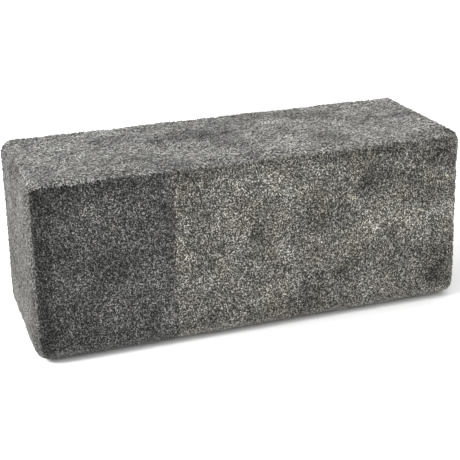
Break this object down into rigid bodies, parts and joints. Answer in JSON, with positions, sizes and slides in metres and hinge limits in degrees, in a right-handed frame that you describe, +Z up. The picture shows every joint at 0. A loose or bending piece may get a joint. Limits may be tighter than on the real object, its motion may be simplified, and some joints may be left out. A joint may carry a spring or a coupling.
{
  "type": "upholstered bench",
  "caption": "Long box-shaped bench padded with foam and covered in shorn grey sheepskin, with rounded edges, sewn panel seams and low plastic feet.",
  "frame": {"origin": "on the floor, under the middle of the bench", "axes": "+X along the bench, -Y out of the long front face that has the off-centre seam, +Z up"},
  "size_m": [1.1, 0.395, 0.45],
  "materials": {
    "sheepskin": "short shorn curly wool, grey",
    "foam": "open-cell foam",
    "plywood": "raw birch plywood",
    "pine": "planed pine",
    "steel": "zinc plated",
    "base_cloth": "black non-woven cloth",
    "foot_plastic": "moulded black plastic"
  },
  "bodies": {
    "root": {"base_cloth": "base_cloth", "base_rail_screws": "steel", "centre_base_rail": "pine", "centre_rib": "plywood", "cloth_staples": "steel", "corner_post_front_left": "pine", "corner_post_front_right": "pine", "corner_post_rear_left": "pine", "corner_post_rear_right": "pine", "cover_staples": "steel", "foot_front_centre": "foot_plastic", "foot_front_left": "foot_plastic", "foot_front_right": "foot_plastic", "foot_rear_centre": "foot_plastic", "foot_rear_left": "foot_plastic", "foot_rear_right": "foot_plastic", "foot_screws": "steel", "front_base_rail": "pine", "front_board": "plywood", "front_board_screws": "steel", "front_foam": "foam", "front_seat_rail": "pine", "front_skin_left": "sheepskin", "front_skin_right": "sheepskin", "left_base_rail": "pine", "left_board_screws": "steel", "left_end_board": "plywood", "left_end_foam": "foam", "left_end_skin": "sheepskin", "left_seat_rail": "pine", "rear_base_rail": "pine", "rear_board": "plywood", "rear_board_screws": "steel", "rear_foam": "foam", "rear_seat_rail": "pine", "rear_skin_left": "sheepskin", "rear_skin_right": "sheepskin", "right_base_rail": "pine", "right_board_screws": "steel", "right_end_board": "plywood", "right_end_foam": "foam", "right_end_skin": "sheepskin", "right_seat_rail": "pine", "seat_board": "plywood", "seat_board_screws": "steel", "seat_foam": "foam", "top_skin_left": "sheepskin", "top_skin_right": "sheepskin"}
  },
  "joints": []
}
